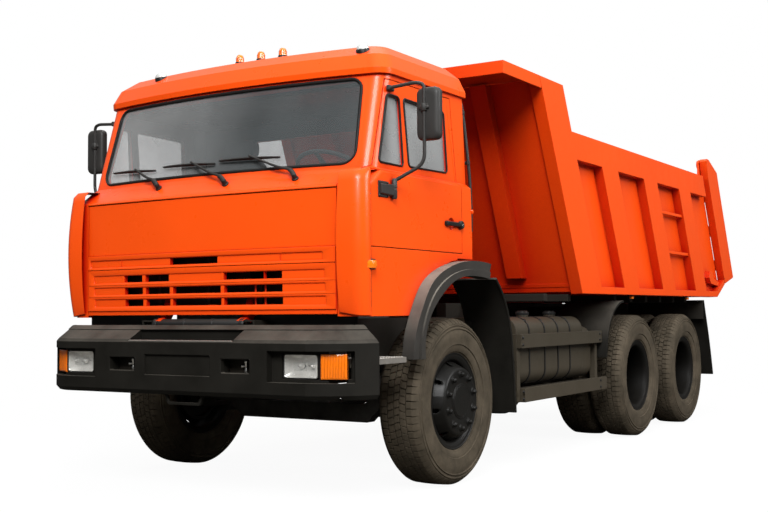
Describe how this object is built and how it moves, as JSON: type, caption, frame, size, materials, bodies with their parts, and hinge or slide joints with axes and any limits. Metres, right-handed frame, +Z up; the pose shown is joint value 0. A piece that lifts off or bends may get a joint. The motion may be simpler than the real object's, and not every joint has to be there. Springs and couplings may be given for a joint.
{
  "type": "three-axle dump truck",
  "caption": "Cab-over dump truck: tilting cab, dropside-free steel tipper body on a telescopic hoist, top-hung tailgate, steered front axle and twin-wheel rear bogie.",
  "frame": {"origin": "middle of the base of the bounding box, on the ground", "axes": "+X the truck's left, +Y its rear, +Z up; the front faces -Y"},
  "size_m": [2.84, 7.577, 2.79],
  "materials": {
    "orange_paint": "gloss",
    "black_paint": "satin",
    "cast_iron": "rough",
    "tyre": "dusty",
    "black_plastic": "textured",
    "rubber": "matte",
    "glass": "clear",
    "lamp_clear": "clear",
    "lamp_amber": "gloss",
    "lamp_red": "gloss",
    "galvanised": "satin",
    "seat_fabric": "matte"
  },
  "bodies": {
    "chassis": {"frame_rails": "black_paint", "cross_members": "black_paint", "subframe": "black_paint", "front_axle": "cast_iron", "rear_axles": "cast_iron", "leaf_springs": "cast_iron", "engine": "cast_iron", "propshafts": "black_paint", "fuel_tank": "black_paint", "side_guards": "black_paint", "air_tanks": "black_paint", "bumper": "black_plastic", "headlamps": "lamp_clear", "indicators": "lamp_amber", "steps": "galvanised", "front_mudguards": "black_plastic", "bogie_mudguards": "black_plastic", "tail_lamps": "lamp_red", "tow_gear": "black_paint", "hoist_bed": "black_paint"},
    "left_knuckle": {"knuckle_left": "cast_iron"},
    "right_knuckle": {"knuckle_right": "cast_iron"},
    "cross_tie": {"tie_rod": "cast_iron"},
    "cab": {"cab_shell": "orange_paint", "cab_glass": "glass", "screen_seal": "rubber", "cab_flares": "black_plastic", "roof_lamps": "lamp_amber", "wipers": "black_paint", "seats": "seat_fabric", "dashboard": "black_plastic"},
    "helm": {"steering_wheel": "black_plastic"},
    "nose": {"front_panel": "orange_paint", "grille_panel": "orange_paint"},
    "left_door": {"door_left": "orange_paint", "door_glass_left": "glass", "mirror_left": "black_plastic"},
    "right_door": {"door_right": "orange_paint", "door_glass_right": "glass", "mirror_right": "black_plastic"},
    "tipper": {"dump_body": "orange_paint"},
    "gate": {"tailgate": "orange_paint"},
    "barrel": {"hoist_barrel": "black_paint"},
    "sleeve": {"hoist_sleeve": "black_paint"},
    "ram": {"hoist_ram": "galvanised"},
    "left_front_wheel": {"front_tyre_left": "tyre", "front_wheel_left": "black_paint"},
    "left_first_rear_wheels": {"first_rear_tyres_left": "tyre", "first_rear_wheel_left": "black_paint"},
    "left_second_rear_wheels": {"second_rear_tyres_left": "tyre", "second_rear_wheel_left": "black_paint"},
    "right_front_wheel": {"front_tyre_right": "tyre", "front_wheel_right": "black_paint"},
    "right_first_rear_wheels": {"first_rear_tyres_right": "tyre", "first_rear_wheel_right": "black_paint"},
    "right_second_rear_wheels": {"second_rear_tyres_right": "tyre", "second_rear_wheel_right": "black_paint"}
  },
  "joints": [
    {"name": "steer_left", "type": "hinge", "parent": "chassis", "child": "left_knuckle", "pos_m": [0.89, -2.4945, 0.52], "axis": [0, 0, 1], "range_deg": [-35, 35]},
    {"name": "steer_right", "type": "hinge", "parent": "chassis", "child": "right_knuckle", "pos_m": [-0.89, -2.4945, 0.52], "axis": [0, 0, 1], "range_deg": [-35, 35]},
    {"name": "cross_tie_slide", "type": "slide", "parent": "chassis", "child": "cross_tie", "axis": [-1, 0, 0], "range_m": [-0.13, 0.13]},
    {"name": "left_front_spin", "type": "hinge", "parent": "left_knuckle", "child": "left_front_wheel", "pos_m": [1.03, -2.4945, 0.52], "axis": [1, 0, 0], "continuous": true},
    {"name": "left_first_rear_spin", "type": "hinge", "parent": "chassis", "child": "left_first_rear_wheels", "pos_m": [0.946, 0.6955, 0.52], "axis": [1, 0, 0], "continuous": true},
    {"name": "left_second_rear_spin", "type": "hinge", "parent": "chassis", "child": "left_second_rear_wheels", "pos_m": [0.946, 2.0155, 0.52], "axis": [1, 0, 0], "continuous": true},
    {"name": "right_front_spin", "type": "hinge", "parent": "right_knuckle", "child": "right_front_wheel", "pos_m": [-1.03, -2.4945, 0.52], "axis": [1, 0, 0], "continuous": true},
    {"name": "right_first_rear_spin", "type": "hinge", "parent": "chassis", "child": "right_first_rear_wheels", "pos_m": [-0.946, 0.6955, 0.52], "axis": [1, 0, 0], "continuous": true},
    {"name": "right_second_rear_spin", "type": "hinge", "parent": "chassis", "child": "right_second_rear_wheels", "pos_m": [-0.946, 2.0155, 0.52], "axis": [1, 0, 0], "continuous": true},
    {"name": "cab_tilt", "type": "hinge", "parent": "chassis", "child": "cab", "pos_m": [0, -3.5745, 1.012], "axis": [-1, 0, 0], "range_deg": [-45, 0]},
    {"name": "helm_turn", "type": "hinge", "parent": "cab", "child": "helm", "pos_m": [0.62, -3.0545, 1.94], "axis": [0, 0.4695, 0.8829], "range_deg": [-720, 720]},
    {"name": "nose_lift", "type": "hinge", "parent": "cab", "child": "nose", "pos_m": [0, -3.5835, 1.7825], "axis": [-1, 0, 0], "range_deg": [0, 80]},
    {"name": "left_door_swing", "type": "hinge", "parent": "cab", "child": "left_door", "pos_m": [1.149, -3.463, 1.9], "axis": [0, 0, -1], "range_deg": [0, 70]},
    {"name": "right_door_swing", "type": "hinge", "parent": "cab", "child": "right_door", "pos_m": [-1.149, -3.463, 1.9], "axis": [0, 0, 1], "range_deg": [0, 70]},
    {"name": "bed_tip", "type": "hinge", "parent": "chassis", "child": "tipper", "pos_m": [0, 2.9155, 1.1], "axis": [-1, 0, 0], "range_deg": [0, 50]},
    {"name": "gate_swing", "type": "hinge", "parent": "tipper", "child": "gate", "pos_m": [0, 3.0005, 2.6], "axis": [1, 0, 0], "range_deg": [0, 70]},
    {"name": "hoist_pivot", "type": "hinge", "parent": "chassis", "child": "barrel", "pos_m": [0, -0.8445, 0.86], "axis": [1, 0, 0], "range_deg": [0, 25.15]},
    {"name": "sleeve_slide", "type": "slide", "parent": "barrel", "child": "sleeve", "axis": [0, 0.9916, 0.1297], "range_m": [0, 0.5581]},
    {"name": "ram_slide", "type": "slide", "parent": "sleeve", "child": "ram", "axis": [0, 0.9916, 0.1297], "range_m": [0, 0.5581]}
  ],
  "couplings": [
    {"joint": "steer_right", "follows": "steer_left", "ratio": 1},
    {"joint": "cross_tie_slide", "follows": "steer_left", "m_per_rad": 0.21},
    {"joint": "helm_turn", "follows": "steer_left", "ratio": 20},
    {"joint": "hoist_pivot", "follows": "bed_tip", "ratio": 0.49305},
    {"joint": "sleeve_slide", "follows": "bed_tip", "m_per_rad": 0.63724},
    {"joint": "ram_slide", "follows": "bed_tip", "m_per_rad": 0.63724}
  ]
}
